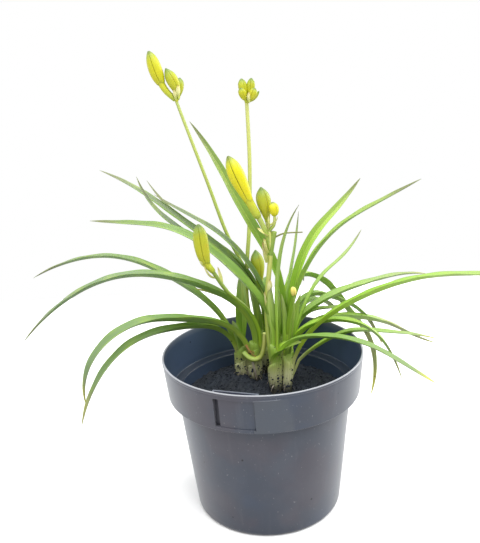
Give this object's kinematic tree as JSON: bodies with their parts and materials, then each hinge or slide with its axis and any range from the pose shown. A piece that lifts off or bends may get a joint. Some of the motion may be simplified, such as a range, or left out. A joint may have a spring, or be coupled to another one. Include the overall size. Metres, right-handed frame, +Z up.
{
  "type": "potted daylily",
  "caption": "Dwarf daylily in bud, with arching strap leaves and slim flower stems, growing in a round plastic nursery pot.",
  "frame": {"origin": "centre of the pot's underside, on the surface it stands on", "axes": "+Z up along the pot's axis, -Y towards the front, where the label window in the collar faces"},
  "size_m": [0.3499, 0.2019, 0.3181],
  "materials": {
    "pot": "semi-gloss moulded polypropylene, dusty and scuffed",
    "mix": "damp peat, matt",
    "leaf": "waxy green leaf, fine parallel veins, pale at the base",
    "bud": "satin yellow bud with green tips and ribs"
  },
  "bodies": {
    "root": {"pot": "pot", "growing_mix": "mix", "fan_left": "leaf", "fan_left_front": "leaf", "fan_rear": "leaf", "fan_front": "leaf", "fan_right": "leaf", "fan_right_rear": "leaf", "buds_left": "bud", "buds_centre": "bud", "bud_largest": "bud", "bud_olive": "bud", "bud_round": "bud", "bud_low_left": "bud", "bud_low_rear": "bud", "bud_smallest": "bud"}
  },
  "joints": []
}
